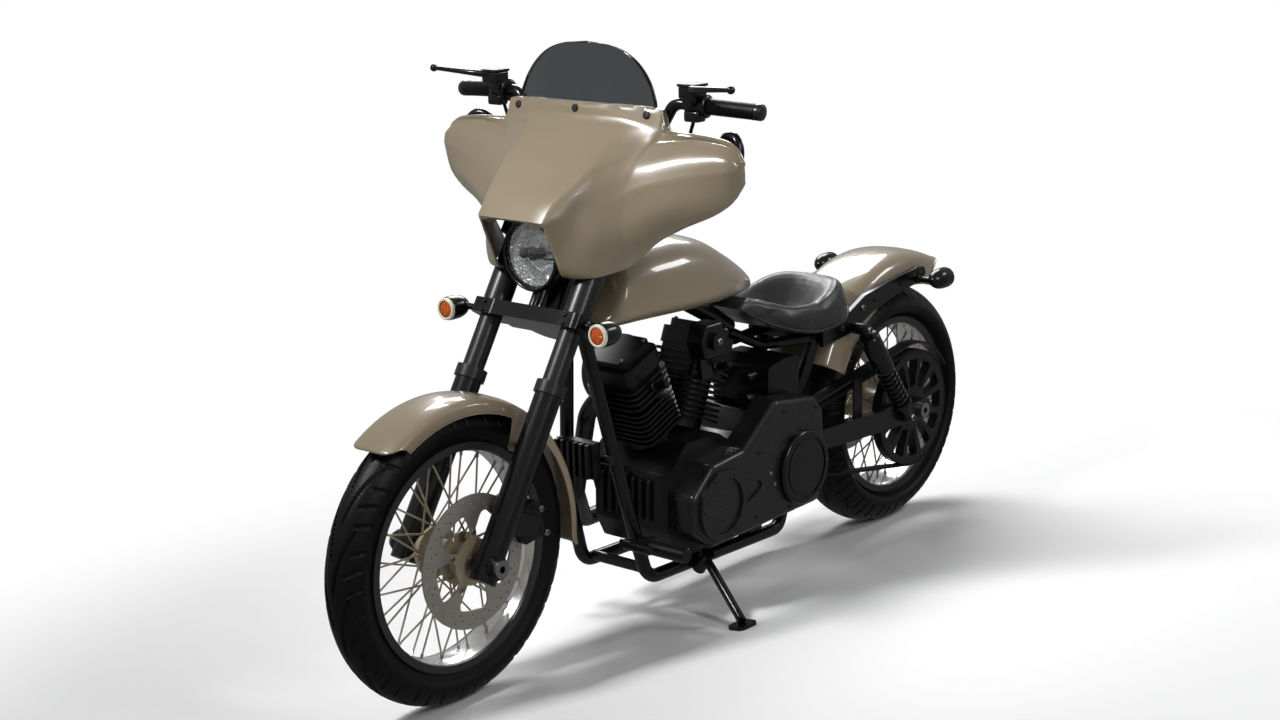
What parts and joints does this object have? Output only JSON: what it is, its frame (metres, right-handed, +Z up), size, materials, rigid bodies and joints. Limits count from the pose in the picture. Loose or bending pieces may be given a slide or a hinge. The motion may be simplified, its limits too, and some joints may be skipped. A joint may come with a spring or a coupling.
{
  "type": "cruiser motorcycle with fork-mounted fairing",
  "caption": "V-twin cruiser motorcycle with fork-mounted batwing fairing, wire wheels, belt drive, forward foot controls and solo seat, parked on its side stand.",
  "frame": {"origin": "on the ground, at the middle of the overall box in plan", "axes": "+X forward along the wheelbase, +Y to the rider's left, +Z up; the bike leans 8 degrees left"},
  "size_m": [2.26, 0.9058, 1.3759],
  "materials": {
    "tan_paint": "gloss",
    "black_paint": "gloss",
    "black_cast": "satin",
    "grey_cast": "satin",
    "bright_alloy": "polished",
    "bare_steel": "brushed",
    "tyre_rubber": "matte",
    "black_rubber": "matte",
    "black_plastic": "matte",
    "seat_vinyl": "satin",
    "smoke_shield": "tinted",
    "clear_glass": "clear",
    "amber_lens": "gloss",
    "red_lens": "gloss"
  },
  "bodies": {
    "chassis": {"frame": "black_paint", "engine_cases": "black_cast", "cylinder_barrels": "black_cast", "cylinder_heads": "black_cast", "cam_cover": "black_cast", "air_cleaner": "black_cast", "horn": "black_paint", "primary_cover": "grey_cast", "clutch_cover": "black_cast", "exhaust": "black_paint", "fuel_tank": "tan_paint", "fuel_cap": "black_cast", "seat": "seat_vinyl", "rear_fender": "tan_paint", "fender_struts": "black_paint", "rear_signals": "black_paint", "rear_signal_lenses": "red_lens", "battery_box": "black_plastic", "regulator": "black_cast", "swingarm": "black_paint", "rear_shocks": "black_paint", "drive_belt": "black_rubber", "belt_guard": "black_plastic", "rear_axle": "bare_steel", "forward_controls": "black_cast", "rear_caliper": "black_cast"},
    "steering": {"triple_clamps": "black_paint", "fork_tubes": "grey_cast", "fork_sliders": "black_paint", "front_axle": "bare_steel", "front_fender": "tan_paint", "fairing": "tan_paint", "inner_fairing": "black_plastic", "windshield": "smoke_shield", "headlamp": "black_paint", "headlamp_lens": "clear_glass", "handlebar": "black_paint", "grips": "black_rubber", "hand_controls": "black_cast", "control_cables": "black_rubber", "front_signals": "black_paint", "front_signal_lenses": "amber_lens", "front_caliper": "black_cast"},
    "front_wheel": {"front_tyre": "tyre_rubber", "front_rim": "bright_alloy", "front_hub_spokes": "tan_paint", "front_disc": "bare_steel"},
    "rear_wheel": {"rear_tyre": "tyre_rubber", "rear_rim": "bright_alloy", "rear_hub_spokes": "tan_paint", "rear_pulley": "black_cast", "rear_disc": "bare_steel"},
    "side_stand": {"side_stand": "black_paint"}
  },
  "joints": [
    {"name": "steering", "type": "hinge", "parent": "chassis", "child": "steering", "pos_m": [0.41771, -0.05517, 0.8402], "axis": [-0.5225, 0.1187, 0.8443], "range_deg": [-30, 30]},
    {"name": "front_wheel_spin", "type": "hinge", "parent": "steering", "child": "front_wheel", "pos_m": [0.799, -0.12711, 0.32828], "axis": [0, 0.9903, -0.1392], "continuous": true},
    {"name": "rear_wheel_spin", "type": "hinge", "parent": "chassis", "child": "rear_wheel", "pos_m": [-0.806, -0.12804, 0.32168], "axis": [0, 0.9903, -0.1392], "continuous": true},
    {"name": "side_stand", "type": "hinge", "parent": "chassis", "child": "side_stand", "pos_m": [0.099, -0.01235, 0.13896], "axis": [0.0507, 0.6868, 0.725], "range_deg": [0, 97]}
  ]
}
